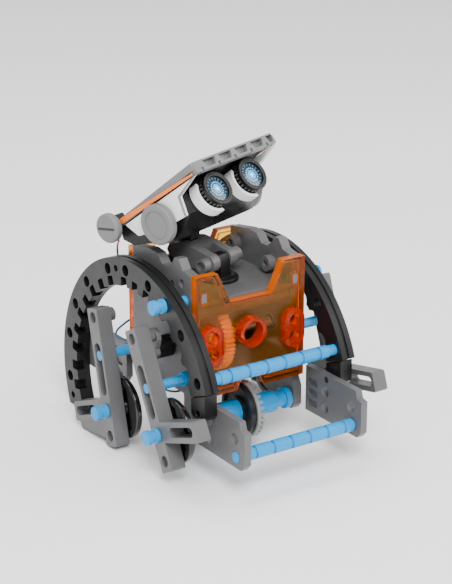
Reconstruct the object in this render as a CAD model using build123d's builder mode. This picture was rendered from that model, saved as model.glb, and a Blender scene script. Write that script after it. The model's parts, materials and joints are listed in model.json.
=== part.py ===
"""Solar robot kit: a four-legged walking robot with a solar-panel head, in millimetres.

+Z is up and the robot faces -Y. Each sketch is drawn in the robot's own coordinates, and save()
moves the finished pieces so that the origin lies under the middle of the footprint.
"""
import os
from math import cos, degrees, pi, radians, sin, sqrt, tan

from build123d import *

os.makedirs("parts", exist_ok=True)

# ---- driving dimensions -------------------------------------------------------------------
STAND_Y = 7.3               # the footprint's middle lies this far in front of the drawing's zero

HALF_BODY = 22.5            # body housing, half its width
WALL = 3.5
BODY_FRONT, BODY_REAR = -27.0, 11.0
BODY_FLOOR, DECK_TOP, DECK_T = 25.3, 59.5, 2.0
COVER_DEPTH, COVER_WALL, COVER_FACE = 3.2, 1.5, 1.3

ARCH_Y, ARCH_Z = -1.5, 18.5  # arch centre
ARCH_OUT, ARCH_IN, ARCH_HOLES = 50.5, 40.5, 46.6
ARCH_X, ARCH_T = 25.6, 5.4
ARCH_JOINT, ARCH_FRONT_END, ARCH_REAR_END = 80.2, 160.0, -40.0

PLATE_X, PLATE_T = 22.8, 2.6
PEG_R, PEG_HEAD_R, PEG_HEAD_L, HOLE_R = 1.96, 2.55, 5.0, 2.0
LEG_X, LEG_T = 34.0, 5.5
WHEEL_R, WHEEL_T, WHEEL_GAP = 11.5, 2.3, 0.35
SLOT_R, GUIDE_R = 2.1, 1.8

MODULE = 0.5
SHAFT_Y, SHAFT_Z = -14.0, 41.0   # output shaft
AXLE_Y, AXLE_Z = -26.0, 15.8     # crown-gear axle

HEAD_YAW, HEAD_PITCH, HEAD_ROLL = 17.0, 38.0, 2.5
NECK_Y = -10.0
TRUNNION_Z = 66.5
HEAD_BACK, HEAD_JOINT_Z = 14.6, 68.5
PANEL_BACK, PANEL_Z = 12.1, 93.95  # panel centre, behind the swivel and above the ground
RUN = 0.05                       # radial clearance of a running fit


def save(piece, name):
    """Stand the piece in its place over the footprint's middle, label it and write it."""
    placed = piece.moved(Location((0, STAND_Y, 0)))
    placed.label = name
    export_step(placed, f"parts/{name}.step")


def side_plane(x):
    """A plane square to X: sketch x is the robot's Y, sketch y its Z."""
    return Plane.YZ.offset(x)


def arch_point(angle, radius=ARCH_HOLES):
    return (ARCH_Y + radius * cos(radians(angle)), ARCH_Z + radius * sin(radians(angle)))


def wedge(start, end, reach=90):
    """Corners of a fan from the arch centre, wide enough to cut a ring to its ends."""
    steps = 3
    spread = [start + (end - start) * i / steps for i in range(steps + 1)]
    return [(ARCH_Y, ARCH_Z)] + [arch_point(angle, reach) for angle in spread]


def gear_outline(teeth, module=MODULE):
    """Corners of a straight-flanked spur gear, with 0.05 mm of backlash on each flank."""
    pitch, tip, root = teeth * module / 2, (teeth / 2 + 0.9) * module, (teeth / 2 - 1.2) * module
    profile = [(root, -0.37), (pitch, -0.235), (tip, -0.11), (tip, 0.11), (pitch, 0.235), (root, 0.37)]
    corners = []
    for tooth in range(teeth):
        middle = 2 * pi * tooth / teeth
        for radius, share in profile:
            turn = middle + share * 2 * pi / teeth
            corners.append((radius * cos(turn), radius * sin(turn)))
    return corners


# ---- body housing -------------------------------------------------------------------------
BODY_TOP = [
    (BODY_REAR, 70.4), (-0.7, 72.3), (-5.7, 71.8), (-8.7, 68.9), (-12.3, 69.0),
    (-15.3, 71.3), (-16.7, 73.4), (-19.3, 73.5), (-21.8, 70.1), (BODY_FRONT, 69.1),
]
LUG = [
    (-22.0, BODY_FLOOR), (-22.0, 14.1), (-24.5, 11.8), (-27.8, 11.8), (-29.4, 13.6), (-29.4, 20.6),
    (BODY_FRONT, BODY_FLOOR),
]
DECK_STOP = [(BODY_REAR, DECK_TOP), (BODY_REAR, 64.5), (BODY_REAR - 1.6, 64.5), (BODY_REAR - 5, DECK_TOP)]
SCREWS = [(8.0, 27.9), (-23.6, 54.8), (7.9, 56.4)]
DECK_BOSSES = [(-15.0, 63.5), (7.0, 65.5)]
ARCH_PEG = arch_point(118)
GUIDES = {   # the pegs that the legs' slots ride on
    "front_left": (-24.4, 31.7),
    "rear_left": (7.3, 33.2),
    "front_right": (-24.6, 41.7),
    "rear_right": (7.3, 33.2),
}
IDLER_Y, IDLER_Z = SHAFT_Y + 15.1 * cos(radians(20)), SHAFT_Z + 15.1 * sin(radians(20))
MOTOR_Y, MOTOR_Z = IDLER_Y + 11.6 * cos(radians(-75)), IDLER_Z + 11.6 * sin(radians(-75))


def body_half(side):
    """One moulded half: side wall, deck, floor, screw posts and the lug of the lower axle."""
    pegs = [spot for leg, spot in GUIDES.items() if leg.endswith("left") == (side < 0)]
    with BuildPart() as half:
        with BuildSketch(side_plane(side * (HALF_BODY - WALL))):
            Polygon((BODY_FRONT, BODY_FLOOR), (BODY_REAR, BODY_FLOOR), *BODY_TOP, align=None)
            Polygon(*LUG, align=None)
        extrude(amount=WALL, dir=(side, 0, 0))
        with BuildSketch(side_plane(0)):
            for low in (DECK_TOP - DECK_T, BODY_FLOOR):
                with Locations(((BODY_FRONT + BODY_REAR) / 2, low + DECK_T / 2)):
                    Rectangle(BODY_REAR - BODY_FRONT, DECK_T)
            Polygon(*DECK_STOP, align=None)
            with Locations(*SCREWS):
                Circle(2.6)
        extrude(amount=HALF_BODY - WALL, dir=(side, 0, 0))
        with BuildSketch(side_plane(side * (HALF_BODY - WALL - 2.8))):
            with Locations(*DECK_BOSSES):
                Circle(2.9)
        extrude(amount=2.9, dir=(side, 0, 0))
        # clip tabs that show in the covers' windows
        for front, out in ((BODY_FRONT, -1), (BODY_REAR, 1)):
            with BuildSketch(Plane.XZ.offset(-front)):
                with Locations((side * 18.9, 61.6)):
                    Rectangle(2.0, 3.4)
            extrude(amount=COVER_DEPTH - 0.5, dir=(0, out, 0))
        # holes for shaft, guide pegs, arch pegs and the lower axle
        with BuildSketch(side_plane(side * (HALF_BODY - WALL - 3))):
            with Locations((SHAFT_Y, SHAFT_Z)):
                Circle(3.0 + RUN)
            with Locations(*pegs):
                Circle(GUIDE_R + 0.01)
            with Locations(ARCH_PEG):
                Circle(HOLE_R)
            with Locations((AXLE_Y, AXLE_Z)):
                Circle(1.5 + RUN)
            with Locations((-21.2, 65.2)):
                Circle(1.6)
            with Locations(*DECK_BOSSES):
                Circle(1.2)
        extrude(amount=WALL + 3.2, dir=(side, 0, 0), mode=Mode.SUBTRACT)
        # screw bores, and head pockets in the right half
        with BuildSketch(side_plane(0)):
            with Locations(*SCREWS):
                Circle(1.31)
        extrude(amount=HALF_BODY if side > 0 else 12, dir=(side, 0, 0), mode=Mode.SUBTRACT)
        if side > 0:
            with BuildSketch(side_plane(HALF_BODY)):
                with Locations(*SCREWS):
                    Circle(2.1)
            extrude(amount=-8, mode=Mode.SUBTRACT)
        # idler shaft and neck swivel seats
        with BuildSketch(side_plane(side * (HALF_BODY - WALL))):
            with Locations((IDLER_Y, IDLER_Z)):
                Circle(2.6)
        extrude(amount=1.5, dir=(-side, 0, 0))
        with BuildSketch(side_plane(side * (HALF_BODY - WALL - 2))):
            with Locations((IDLER_Y, IDLER_Z)):
                Circle(1.0)
        extrude(amount=3.6, dir=(side, 0, 0), mode=Mode.SUBTRACT)
        with BuildSketch(Plane.XY.offset(DECK_TOP - DECK_T)):
            with Locations((0, NECK_Y)):
                Circle(3.0 + RUN)
        extrude(amount=DECK_T, mode=Mode.SUBTRACT)
        # wire hole in the floor, and the slot over the crown gear
        with BuildSketch(Plane.XY.offset(BODY_FLOOR)):
            with Locations((0, AXLE_Y)):
                Rectangle(9, 14)
            if side < 0:
                with Locations((-12.9, -11.8)):
                    Circle(2.4)
        extrude(amount=DECK_T, mode=Mode.SUBTRACT)
    return half.part


save(body_half(-1), "body_left_half")
save(body_half(1), "body_right_half")

with BuildPart() as body_screws:
    for y, z in SCREWS:
        with BuildSketch(side_plane(-10)):
            with Locations((y, z)):
                Circle(1.3)
        extrude(amount=24.5)
        with BuildSketch(side_plane(14.5)):
            with Locations((y, z)):
                Circle(2.0)
        extrude(amount=1.8)
    with BuildSketch(side_plane(16.3)):
        for y, z in SCREWS:
            with Locations((y, z)):
                Rectangle(2.6, 0.6)
                Rectangle(0.6, 2.6)
    extrude(amount=-0.9, mode=Mode.SUBTRACT)
save(body_screws.part, "body_screws")

COVER_OUTLINE = [
    (-22.5, 25.3), (-22.5, 69.5), (-13.5, 69.5), (-8.6, 58.5),
    (8.6, 58.5), (13.5, 69.5), (22.5, 69.5), (22.5, 25.3),
]
CROWN_NOTCH = [(-5.6, 25.2), (-4.0, 29.0), (4.0, 29.0), (5.6, 25.2)]


def cover(edge, out):
    """Clear tray cover on the housing's open end at y = edge; out is -1 in front, 1 behind."""
    with BuildPart() as tray:
        with BuildSketch(Plane.XZ.offset(-edge)):
            Polygon(*COVER_OUTLINE, align=None)
            Polygon(*CROWN_NOTCH, align=None, mode=Mode.SUBTRACT)
        extrude(amount=COVER_DEPTH, dir=(0, out, 0))
        with BuildSketch(Plane.XZ.offset(-edge)):
            Polygon(*COVER_OUTLINE, align=None)
            Polygon(*CROWN_NOTCH, align=None, mode=Mode.SUBTRACT)
            offset(amount=-COVER_WALL, kind=Kind.INTERSECTION, mode=Mode.REPLACE)
        extrude(amount=COVER_DEPTH - COVER_FACE, dir=(0, out, 0), mode=Mode.SUBTRACT)
        face = edge + out * COVER_DEPTH
        with BuildSketch(Plane.XZ.offset(-face)):
            with Locations((-1, 46.8)):
                Circle(5.4)
            with Locations((-16.9, 44.5), (16.9, 44.5)):
                SlotCenterToCenter(6.0, 8.4, rotation=90)
        extrude(amount=2.4, dir=(0, out, 0))
        with BuildSketch(Plane.XZ.offset(-face)):
            with Locations((-1, 46.8)):
                Circle(5.4)
        extrude(amount=3.2, dir=(0, out, 0))
        with BuildSketch(Plane.XZ.offset(-edge)):
            with Locations((-1, 46.8)):
                Circle(3.9)
            with Locations((-16.9, 41.5), (16.9, 41.5), (-16.9, 47.5), (16.9, 47.5)):
                Circle(2.2)
            with Locations((-18.9, 61.6), (18.9, 61.6)):
                Rectangle(2.6, 4.0)
        extrude(amount=COVER_DEPTH + 5, dir=(0, out, 0), mode=Mode.SUBTRACT)
    return tray.part


save(cover(BODY_FRONT, -1), "front_cover")
save(cover(BODY_REAR, 1), "rear_cover")

# ---- motor and gear train -----------------------------------------------------------------
with BuildPart() as motor:
    with BuildSketch(side_plane(3.0)):
        with Locations((MOTOR_Y, MOTOR_Z)):
            Circle(5.5)
            Rectangle(9.6, 14, mode=Mode.INTERSECT)
    extrude(amount=14.5)
    with BuildSketch(side_plane(2.2)):
        with Locations((MOTOR_Y, MOTOR_Z)):
            Circle(2.2)
    extrude(amount=0.9)
    with BuildSketch(side_plane(-2.6)):
        with Locations((MOTOR_Y, MOTOR_Z)):
            Circle(0.75)
    extrude(amount=5)
save(motor.part, "motor")


def gear(y, z, x, width, teeth, bore, turn=0.0, hub=None):
    """A spur gear about an X axis, turned to mesh; hub is (radius, end x) of a second step."""
    with BuildPart() as wheel:
        with BuildSketch(side_plane(x)):
            with Locations(Location((y, z), turn)):
                Polygon(*gear_outline(teeth), align=None)
        extrude(amount=width)
        if hub:
            with BuildSketch(side_plane(x + width / 2)):
                with Locations((y, z)):
                    Circle(hub[0])
            extrude(amount=hub[1] - x - width / 2)
        with BuildSketch(side_plane(x - 20)):
            with Locations((y, z)):
                Circle(bore)
        extrude(amount=60, mode=Mode.SUBTRACT)
    return wheel.part


# Tooth 0 of each driver faces its follower; the follower turns a gap to it.
pinion = gear(MOTOR_Y, MOTOR_Z, -2.0, 3.2, 10, 0.76, turn=105)
save(pinion, "motor_pinion")

with BuildPart() as idler_gear:
    with BuildSketch(side_plane(-1.6)):
        with Locations(Location((IDLER_Y, IDLER_Z), -75 + 180 / 36)):
            Polygon(*gear_outline(36), align=None)
    extrude(amount=2.4)
    with BuildSketch(side_plane(-8.2)):
        with Locations(Location((IDLER_Y, IDLER_Z), 200)):
            Polygon(*gear_outline(12), align=None)
    extrude(amount=6.8)
    with BuildSketch(side_plane(-9)):
        with Locations((IDLER_Y, IDLER_Z)):
            Circle(1.0 + RUN)
    extrude(amount=12, mode=Mode.SUBTRACT)
save(idler_gear.part, "idler_gear")

with BuildPart() as idler_shaft:
    with BuildSketch(side_plane(-20.4)):
        with Locations((IDLER_Y, IDLER_Z)):
            Circle(0.99)
    extrude(amount=40.8)
save(idler_shaft.part, "idler_shaft")

with BuildPart() as yellow_gear:
    with BuildSketch(side_plane(-8.0)):
        with Locations(Location((SHAFT_Y, SHAFT_Z), 20 + 180 / 48)):
            Polygon(*gear_outline(48), align=None)
    extrude(amount=4.0)
    with BuildSketch(side_plane(-8.0)):
        with Locations((SHAFT_Y, SHAFT_Z)):
            Circle(10.2)
            Circle(4.6, mode=Mode.SUBTRACT)
    extrude(amount=1.2, mode=Mode.SUBTRACT)
    with BuildSketch(side_plane(-11.0)):
        with Locations((SHAFT_Y, SHAFT_Z)):
            Circle(4.0)
    extrude(amount=10.0)
    with BuildSketch(side_plane(-12)):
        with Locations((SHAFT_Y, SHAFT_Z)):
            Circle(1.5)
    extrude(amount=14, mode=Mode.SUBTRACT)
save(yellow_gear.part, "yellow_gear")

with BuildPart() as output_shaft:
    with BuildSketch(side_plane(-29.2)):
        with Locations((SHAFT_Y, SHAFT_Z)):
            Circle(1.48)
    extrude(amount=58.4)
save(output_shaft.part, "output_shaft")


SIDES = {"left": -1, "right": 1}
CRANK_TURN = {-1: 67.5, 1: -112.5}   # direction of each crank arm; the two sides are half a turn apart
LOBE_TURN, LOBE_REACH = 41.5, 5.2    # driving lobe, ahead of the arm

# square driving bosses on round journals that turn in the side walls
with BuildPart() as drive_hubs:
    for side in SIDES.values():
        with BuildSketch(side_plane(side * 18.6)):
            with Locations((SHAFT_Y, SHAFT_Z)):
                Circle(3.0)
        extrude(amount=4.3, dir=(side, 0, 0))
        with BuildSketch(side_plane(side * 22.8)):
            with Locations(Location((SHAFT_Y, SHAFT_Z), 20)):
                RectangleRounded(6.6, 6.6, 1.8)
        extrude(amount=6.5, dir=(side, 0, 0))
    with BuildSketch(side_plane(-40)):
        with Locations((SHAFT_Y, SHAFT_Z)):
            Circle(1.49)
    extrude(amount=80, mode=Mode.SUBTRACT)
save(drive_hubs.part, "drive_hubs")

with BuildPart() as cranks:
    for side, turn in CRANK_TURN.items():
        with BuildSketch(side_plane(side * 29.3)):
            with Locations(Location((SHAFT_Y, SHAFT_Z), turn)):
                with Locations((1.6, 0)):
                    RectangleRounded(9.6, 7.4, 1.6)
            with Locations(Location((SHAFT_Y, SHAFT_Z), turn + LOBE_TURN)):
                with Locations((LOBE_REACH / 2, 0)):
                    SlotCenterToCenter(LOBE_REACH, 6.2)
        extrude(amount=1.7, dir=(side, 0, 0))
    fillet(cranks.faces().sort_by(Axis.X)[0].edges() + cranks.faces().sort_by(Axis.X)[-1].edges(), 0.4)
save(cranks.part, "cranks")

# ---- arches -------------------------------------------------------------------------------
REAR_HOLES = [(angle, HOLE_R) for angle in (-8.8, 12.7, 30.0, 47.6, 70.2)] + [(77.5, 1.2), (-18.0, 1.3)]
FRONT_HOLES = [(angle, HOLE_R) for angle in (85.7, 104.4, 118.0, 133.8, 155.0)]


def arch_quarter(side, start, end, holes, notches, scallops):
    """One quarter ring: pierced band, toothed outer lip, grooved rim."""
    outer = side * (ARCH_X + ARCH_T)
    with BuildPart() as quarter:
        with BuildSketch(side_plane(side * ARCH_X)):
            with Locations((ARCH_Y, ARCH_Z)):
                Circle(ARCH_OUT)
                Circle(ARCH_IN, mode=Mode.SUBTRACT)
            Polygon(*wedge(start, end), align=None, mode=Mode.INTERSECT)
            with Locations((0, 60)):
                Rectangle(200, 120, mode=Mode.INTERSECT)
            for angle, radius in holes:
                with Locations(arch_point(angle)):
                    Circle(radius, mode=Mode.SUBTRACT)
            for angle in scallops:
                with Locations(arch_point(angle, ARCH_IN - 1.0)):
                    Circle(3.4, mode=Mode.SUBTRACT)
        extrude(amount=ARCH_T, dir=(side, 0, 0))
        with BuildSketch(side_plane(outer)):
            for angle in notches:
                with Locations(Location(arch_point(angle, ARCH_IN + 0.9), angle)):
                    RectangleRounded(5.0, 3.6, 0.7)
        extrude(amount=3.2, dir=(-side, 0, 0), mode=Mode.SUBTRACT)
        with BuildSketch(side_plane(side * (ARCH_X + ARCH_T / 2 - 0.5))):
            with Locations((ARCH_Y, ARCH_Z)):
                Circle(ARCH_OUT + 2)
                Circle(ARCH_OUT - 0.7, mode=Mode.SUBTRACT)
        extrude(amount=1.0, dir=(side, 0, 0), mode=Mode.SUBTRACT)
    return quarter.part


REAR_NOTCHES = [-12.5 + 10.4 * i for i in range(9)]
FRONT_NOTCHES = [83.5, 93.5, 103.5, 112.5]
SCALLOPS = [124.5, 137.5, 149.5]
for word, side in SIDES.items():
    rear = arch_quarter(side, ARCH_REAR_END, ARCH_JOINT, REAR_HOLES, REAR_NOTCHES, [])
    front = arch_quarter(side, ARCH_JOINT, ARCH_FRONT_END, FRONT_HOLES, FRONT_NOTCHES, SCALLOPS)
    save(rear, f"arch_rear_{word}")
    save(front, f"arch_front_{word}")

CLIP_PIN = (-43.5, 27.3)
CLIP = [
    (-47.8, 27.0), (-46.4, 25.4), (-40.4, 25.4), (-39.4, 26.4), (-39.4, 31.8), (-40.6, 32.0), (-47.8, 35.0),
]


# clip blocks under the arches' front ends, which carry the front plates on small pins
with BuildPart() as arch_clips:
    for side in SIDES.values():
        with BuildSketch(side_plane(side * (ARCH_X + 0.1))):
            Polygon(*CLIP, align=None)
            Polygon(*wedge(100, ARCH_FRONT_END), align=None, mode=Mode.SUBTRACT)
            with Locations(CLIP_PIN):
                Circle(1.2, mode=Mode.SUBTRACT)
        extrude(amount=ARCH_T - 0.4, dir=(side, 0, 0))
save(arch_clips.part, "arch_clips")

# Two-lobed push-peg head: where each step starts, its length and its radius.
PEG_HEAD = [(0.05, 1.5, PEG_HEAD_R), (1.45, 1.7, 1.9), (3.05, PEG_HEAD_L - 3.0, PEG_HEAD_R)]
SHORT_HEAD = [(0.05, 1.0, PEG_HEAD_R), (1.0, 0.7, 1.9), (1.6, 0.9, PEG_HEAD_R)]

with BuildPart() as arch_pegs:
    for side in SIDES.values():
        with BuildSketch(side_plane(side * 19.2)):
            with Locations(ARCH_PEG):
                Circle(PEG_R)
        extrude(amount=ARCH_X + ARCH_T - 19.2 + 0.2, dir=(side, 0, 0))
        for start, length, radius in PEG_HEAD if side < 0 else SHORT_HEAD:
            with BuildSketch(side_plane(side * (ARCH_X + ARCH_T + start))):
                with Locations(ARCH_PEG):
                    Circle(radius)
            extrude(amount=length, dir=(side, 0, 0))
save(arch_pegs.part, "arch_pegs")


def crossbar(y, z, half_length):
    """A rod with raised sleeves between its grooves; its bare ends sit in the holes."""
    inner = PLATE_X - 0.35
    spans = [(-half_length, 1 - inner, PEG_R), (inner - 1, half_length, PEG_R), (-20.0, 20.0, 1.7)]
    spans += [(7.4 * i - 3.25, 7.4 * i + 3.25, 2.35) for i in range(-2, 3)]
    spans += [(-inner, -18.95, 2.35), (18.95, inner, 2.35)]
    with BuildPart() as bar:
        for start, end, radius in spans:
            with BuildSketch(side_plane(start)):
                with Locations((y, z)):
                    Circle(radius)
            extrude(amount=end - start)
    return bar.part


UPPER_BAR = arch_point(155.0)
LOWER_BAR = (-58.6, 15.9)
save(crossbar(*UPPER_BAR, ARCH_X + 2.4), "upper_crossbar")
save(crossbar(*LOWER_BAR, PLATE_X + PLATE_T + 0.4), "lower_crossbar")

# ---- side plates --------------------------------------------------------------------------
FRONT_PLATE = [
    (-31.5, 12.0), (-61.5, 12.0), (-63.6, 14.2), (-63.6, 25.6), (-61.2, 26.2), (-60.2, 29.0), (-31.5, 29.0),
]
FRONT_PLATE_HOLES = [(-43.0, 22.4), (-43.0, 16.5), (-57.6, 22.2), LOWER_BAR]
REAR_PLATE = [
    (12.0, 20.5), (15.5, 16.2), (46.5, 16.2), (48.0, 18.0), (48.0, 31.0), (46.0, 33.0), (13.2, 33.0),
    (12.0, 31.8),
]
REAR_PEG = arch_point(12.7)
REAR_PLATE_HOLES = [REAR_PEG, (34.0, 20.6)]


def side_plate(side, outline, holes, pocket_y, pocket_z, small=None):
    with BuildPart() as plate:
        with BuildSketch(side_plane(side * PLATE_X)):
            Polygon(*outline, align=None)
            for spot in holes:
                with Locations(spot):
                    Circle(HOLE_R, mode=Mode.SUBTRACT)
            if small:
                with Locations(small):
                    Circle(1.2, mode=Mode.SUBTRACT)
        extrude(amount=PLATE_T, dir=(side, 0, 0))
        for face, inward in ((PLATE_X, 1), (PLATE_X + PLATE_T, -1)):
            with BuildSketch(side_plane(side * face)):
                with Locations(*[(pocket_y, pocket_z + 4.0 * i) for i in range(3)]):
                    RectangleRounded(5.2, 2.6, 0.4)
            extrude(amount=0.9, dir=(side * inward, 0, 0), mode=Mode.SUBTRACT)
    return plate.part


for word, side in SIDES.items():
    save(side_plate(side, FRONT_PLATE, FRONT_PLATE_HOLES, -35.6, 15.6, CLIP_PIN), f"front_plate_{word}")
    save(side_plate(side, REAR_PLATE, REAR_PLATE_HOLES, 17.6, 21.0), f"rear_plate_{word}")

with BuildPart() as plate_pins:
    for side in SIDES.values():
        with BuildSketch(side_plane(side * (PLATE_X - 0.8))):
            with Locations(REAR_PEG):
                Circle(2.6)
        extrude(amount=0.8, dir=(side, 0, 0))
        with BuildSketch(side_plane(side * PLATE_X)):
            with Locations(CLIP_PIN):
                Circle(1.18)
            with Locations(REAR_PEG):
                Circle(PEG_R)
        extrude(amount=5.2, dir=(side, 0, 0))
save(plate_pins.part, "plate_pins")

with BuildPart() as guide_pegs:
    for leg, spot in GUIDES.items():
        side = -1 if leg.endswith("left") else 1
        for start, end, radius in ((19.2, LEG_X + LEG_T - 0.3, GUIDE_R), (22.6, 24.8, 2.6)):
            with BuildSketch(side_plane(side * start)):
                with Locations(spot):
                    Circle(radius)
            extrude(amount=end - start, dir=(side, 0, 0))
save(guide_pegs.part, "guide_pegs")

# ---- crown-gear axle ----------------------------------------------------------------------
with BuildPart() as drive_axle:
    with BuildSketch(side_plane(-22.2)):
        with Locations((AXLE_Y, AXLE_Z)):
            Circle(1.5)
    extrude(amount=44.4)
save(drive_axle.part, "drive_axle")

with BuildPart() as axle_sleeves:
    for start, length, radius in ((-18.4, 15.2, 4.2), (1.7, 10.5, 4.0), (12.1, 4.4, 2.8), (16.4, 2.2, 3.9)):
        with BuildSketch(side_plane(start)):
            with Locations((AXLE_Y, AXLE_Z)):
                Circle(radius)
        extrude(amount=length)
    with BuildSketch(side_plane(-20)):
        with Locations((AXLE_Y, AXLE_Z)):
            Circle(1.51)
    extrude(amount=42, mode=Mode.SUBTRACT)
save(axle_sleeves.part, "axle_sleeves")

CROWN_TEETH, CROWN_R = 30, 10.3
with BuildPart() as crown_disc:
    with BuildSketch(side_plane(-3.2)):
        with Locations((AXLE_Y, AXLE_Z)):
            Circle(9.6)
            Circle(1.51, mode=Mode.SUBTRACT)
    extrude(amount=2.3)
    with BuildSketch(side_plane(-3.2)):
        with Locations((AXLE_Y, AXLE_Z)):
            Circle(8.3)
            Circle(5.0, mode=Mode.SUBTRACT)
    extrude(amount=0.9, mode=Mode.SUBTRACT)
save(crown_disc.part, "crown_disc")

with BuildPart() as crown_gear:
    with BuildSketch(side_plane(-0.9)):
        with Locations((AXLE_Y, AXLE_Z)):
            Circle(CROWN_R)
            Circle(1.51, mode=Mode.SUBTRACT)
    extrude(amount=2.6)
    with BuildSketch(side_plane(0.1)):
        with Locations((AXLE_Y, AXLE_Z)):
            Circle(CROWN_R - 2.4)
            Circle(4.2, mode=Mode.SUBTRACT)
    extrude(amount=2, mode=Mode.SUBTRACT)
    with BuildSketch(side_plane(0.4)):
        with Locations((AXLE_Y, AXLE_Z)):
            with PolarLocations(CROWN_R - 1.2, CROWN_TEETH):
                Rectangle(3.2, 1.05)
    extrude(amount=2, mode=Mode.SUBTRACT)
save(crown_gear.part, "crown_gear")

# ---- legs ---------------------------------------------------------------------------------
BAR_W, BAR_UP, BAR_DOWN = 7.0, 37.0, 13.0
CRANK_HOLE, FOOT_HOLE = -33.7, 9.2   # along the bar from the axle pin
ARM_REACH, ARM_DROP = 24.8, 8.0
LEGS = {   # forward tilt of the bar, axle pin's distance down from the guide peg, arm direction
    "front_left": (28.3, 16.2, -1),
    "rear_left": (14.0, 19.85, 1),
    "front_right": (20.0, 21.0, -1),
    "rear_right": (10.0, 19.9, 1),
}


def axle_of(leg):
    y, z = GUIDES[leg]
    tilt, drop, toward = LEGS[leg]
    return (y - drop * sin(radians(tilt)), z - drop * cos(radians(tilt)))


def leg_plane(leg, x):
    """Sketch x runs down the bar from the axle pin, sketch y towards the arm."""
    tilt, drop, toward = LEGS[leg]
    down = Vector(0, -sin(radians(tilt)), -cos(radians(tilt)))
    across = Vector(0, toward * cos(radians(tilt)), -toward * sin(radians(tilt)))
    return Plane(origin=(x, *axle_of(leg)), x_dir=down, z_dir=down.cross(across))


FALL = tan(radians(ARM_DROP))
EDGE = BAR_W / 2
ARM_TIP = FALL * (ARM_REACH - EDGE)
ARM = [
    (-4.0, EDGE - 1), (-4.0, EDGE), (-4.0 + ARM_TIP, ARM_REACH - 0.6), (-3.4 + ARM_TIP, ARM_REACH),
    (2.6 + ARM_TIP, ARM_REACH), (3.2 + ARM_TIP, ARM_REACH - 0.8), (3.2, EDGE), (3.2, EDGE - 1),
]
# the web is on the hind legs only
WEB = [(3.0, EDGE - 1), (3.0 + FALL * 20, 23.0), (9.0, 21.5), (10.5, EDGE), (10.5, EDGE - 1)]


def leg_part(leg):
    """L-shaped leg: slotted bar, windowed arm and, behind, the thin web below the arm."""
    side = -1 if leg.endswith("left") else 1
    with BuildPart() as body:
        with BuildSketch(leg_plane(leg, side * LEG_X)):
            with Locations(((BAR_DOWN - BAR_UP) / 2, 0)):
                RectangleRounded(BAR_UP + BAR_DOWN, BAR_W, 0.8)
            Polygon(*ARM, align=None)
        extrude(amount=LEG_T, dir=(side, 0, 0))
        if leg.startswith("rear"):
            with BuildSketch(leg_plane(leg, side * (LEG_X + 3.2))):
                Polygon(*WEB, align=None)
            extrude(amount=1.8, dir=(side, 0, 0))
        with BuildSketch(leg_plane(leg, side * LEG_X)):
            Circle(HOLE_R)
            with Locations((-15.0, 0)):
                SlotCenterToCenter(18.0 - 2 * SLOT_R + 1.0, 2 * SLOT_R)
            with Locations(Location((FALL * 12.5 - 0.4, 16.0), ARM_DROP * -1 + 90)):
                SlotOverall(15.0, 3.4)
        extrude(amount=LEG_T, dir=(side, 0, 0), mode=Mode.SUBTRACT)
        # closed seats at the crank end and the foot
        with BuildSketch(leg_plane(leg, side * (LEG_X + LEG_T))):
            with Locations((CRANK_HOLE, 0), (FOOT_HOLE, 0)):
                Circle(HOLE_R)
        extrude(amount=1.4, dir=(-side, 0, 0), mode=Mode.SUBTRACT)
        # stud on the inner face that the crank's far end drives
        with BuildSketch(leg_plane(leg, side * LEG_X)):
            with Locations((CRANK_HOLE, 0)):
                Circle(2.4)
        extrude(amount=2.5, dir=(-side, 0, 0))
    return body.part


for leg in LEGS:
    save(leg_part(leg), f"leg_{leg}")
    side = -1 if leg.endswith("left") else 1
    wheel_x = LEG_X - WHEEL_GAP
    with BuildPart() as axle_peg:
        with BuildSketch(side_plane(side * (wheel_x - WHEEL_T - 1.4))):
            with Locations(axle_of(leg)):
                Circle(PEG_R)
        extrude(amount=LEG_X + LEG_T + 0.2 - (wheel_x - WHEEL_T - 1.4), dir=(side, 0, 0))
        with BuildSketch(side_plane(side * (wheel_x - WHEEL_T - 1.4))):
            with Locations(axle_of(leg)):
                Circle(2.6)
        extrude(amount=1.2, dir=(side, 0, 0))
        for start, length, radius in PEG_HEAD:
            with BuildSketch(side_plane(side * (LEG_X + LEG_T + start))):
                with Locations(axle_of(leg)):
                    Circle(radius)
            extrude(amount=length, dir=(side, 0, 0))
    save(axle_peg.part, f"axle_peg_{leg}")
    with BuildPart() as wheel:
        with BuildSketch(side_plane(side * wheel_x)):
            with Locations(axle_of(leg)):
                Circle(WHEEL_R)
        extrude(amount=WHEEL_T, dir=(-side, 0, 0))
        fillet(wheel.edges().filter_by(GeomType.CIRCLE), 0.7)
        for face, inward in ((wheel_x, -1), (wheel_x - WHEEL_T, 1)):
            with BuildSketch(side_plane(side * face)):
                with Locations(axle_of(leg)):
                    Circle(WHEEL_R - 2.2)
                    Circle(3.6, mode=Mode.SUBTRACT)
            extrude(amount=0.5, dir=(side * inward, 0, 0), mode=Mode.SUBTRACT)
        with BuildSketch(side_plane(side * wheel_x)):
            with Locations(axle_of(leg)):
                Circle(PEG_R + RUN)
        extrude(amount=WHEEL_T, dir=(-side, 0, 0), mode=Mode.SUBTRACT)
    save(wheel.part, f"wheel_{leg}")

# ---- neck ---------------------------------------------------------------------------------
NECK = Plane(origin=(0, NECK_Y, 0), x_dir=Vector(1, 0, 0).rotate(Axis.Z, HEAD_YAW), z_dir=(0, 0, 1))


def neck_side(x):
    """Upright plane square to the neck's pivots: sketch x is backward, sketch y the height."""
    return Plane(origin=NECK.origin + NECK.x_dir * x, x_dir=NECK.y_dir, z_dir=NECK.x_dir)


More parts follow.
